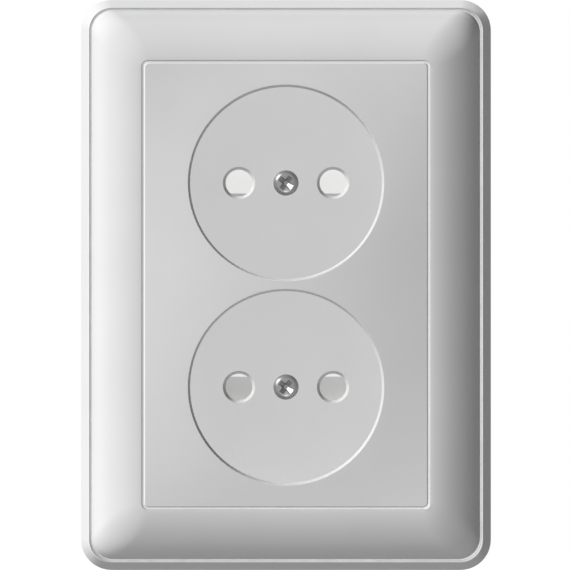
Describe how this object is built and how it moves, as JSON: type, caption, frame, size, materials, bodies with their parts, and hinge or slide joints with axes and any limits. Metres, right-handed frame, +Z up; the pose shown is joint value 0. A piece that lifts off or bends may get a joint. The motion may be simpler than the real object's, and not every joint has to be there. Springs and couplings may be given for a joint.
{
  "type": "double wall socket",
  "caption": "Flush wall socket with a rounded rectangular frame, round plug wells with shuttered pin holes, screw terminals and spreading wall claws.",
  "frame": {"origin": "centre of the wall plane, midway between the box screws", "axes": "+Z up the wall, X across it, the face looks along -Y and +Y goes into the wall"},
  "size_m": [0.0828, 0.0388, 0.1152],
  "materials": {
    "silver_plastic": "satin silver",
    "white_plastic": "satin white",
    "base_plastic": "matt grey",
    "plated_steel": "zinc plated",
    "contact_brass": "bright brass"
  },
  "bodies": {
    "socket": {"outer_frame": "silver_plastic", "cover_plate": "silver_plastic", "socket_base": "base_plastic", "contact_tray": "base_plastic", "support_plate": "plated_steel", "cover_screw_upper": "plated_steel", "cover_screw_lower": "plated_steel", "cover_nut_upper": "plated_steel", "cover_nut_lower": "plated_steel", "shutter_spring_upper": "plated_steel", "shutter_spring_lower": "plated_steel", "claw_pin_right": "plated_steel", "claw_pin_left": "plated_steel", "contact_strip_right": "contact_brass", "contact_strip_left": "contact_brass"},
    "shutter_upper": {"shutter_upper": "white_plastic"},
    "shutter_lower": {"shutter_lower": "white_plastic"},
    "terminal_clamp_right": {"terminal_clamp_right": "plated_steel"},
    "terminal_clamp_left": {"terminal_clamp_left": "plated_steel"},
    "terminal_screw_right": {"terminal_screw_right": "plated_steel"},
    "terminal_screw_left": {"terminal_screw_left": "plated_steel"},
    "claw_right": {"claw_right": "plated_steel"},
    "claw_left": {"claw_left": "plated_steel"},
    "claw_screw_right": {"claw_screw_right": "plated_steel"},
    "claw_screw_left": {"claw_screw_left": "plated_steel"}
  },
  "joints": [
    {"name": "shutter_upper_slide", "type": "slide", "parent": "socket", "child": "shutter_upper", "axis": [0, 0, -1], "range_m": [0, 0.0068], "stiffness_N_per_m": 100, "springref_m": -0.004, "deforming": ["shutter_spring_upper"]},
    {"name": "shutter_lower_slide", "type": "slide", "parent": "socket", "child": "shutter_lower", "axis": [0, 0, 1], "range_m": [0, 0.0068], "stiffness_N_per_m": 100, "springref_m": -0.004, "deforming": ["shutter_spring_lower"]},
    {"name": "terminal_clamp_right_slide", "type": "slide", "parent": "socket", "child": "terminal_clamp_right", "axis": [0, -1, 0], "range_m": [0, 0.003]},
    {"name": "terminal_screw_right_turn", "type": "hinge", "parent": "terminal_clamp_right", "child": "terminal_screw_right", "pos_m": [0.0095, 0.0224, 0], "axis": [0, -1, 0], "range_deg": [0, 1801]},
    {"name": "claw_right_swing", "type": "hinge", "parent": "socket", "child": "claw_right", "pos_m": [0.0255, 0.004, 0], "axis": [0, 0, -1], "range_deg": [0, 25]},
    {"name": "claw_screw_right_drive", "type": "slide", "parent": "socket", "child": "claw_screw_right", "axis": [0, 1, 0], "range_m": [0, 0.0015]},
    {"name": "terminal_clamp_left_slide", "type": "slide", "parent": "socket", "child": "terminal_clamp_left", "axis": [0, -1, 0], "range_m": [0, 0.003]},
    {"name": "terminal_screw_left_turn", "type": "hinge", "parent": "terminal_clamp_left", "child": "terminal_screw_left", "pos_m": [-0.0095, 0.0224, 0], "axis": [0, -1, 0], "range_deg": [0, 1801]},
    {"name": "claw_left_swing", "type": "hinge", "parent": "socket", "child": "claw_left", "pos_m": [-0.0255, 0.004, 0], "axis": [0, 0, 1], "range_deg": [0, 25]},
    {"name": "claw_screw_left_drive", "type": "slide", "parent": "socket", "child": "claw_screw_left", "axis": [0, 1, 0], "range_m": [0, 0.0015]}
  ],
  "couplings": [
    {"joint": "terminal_screw_right_turn", "follows": "terminal_clamp_right_slide", "rad_per_m": 10472},
    {"joint": "claw_right_swing", "follows": "claw_screw_right_drive", "rad_per_m": 290},
    {"joint": "terminal_screw_left_turn", "follows": "terminal_clamp_left_slide", "rad_per_m": 10472},
    {"joint": "claw_left_swing", "follows": "claw_screw_left_drive", "rad_per_m": 290}
  ]
}
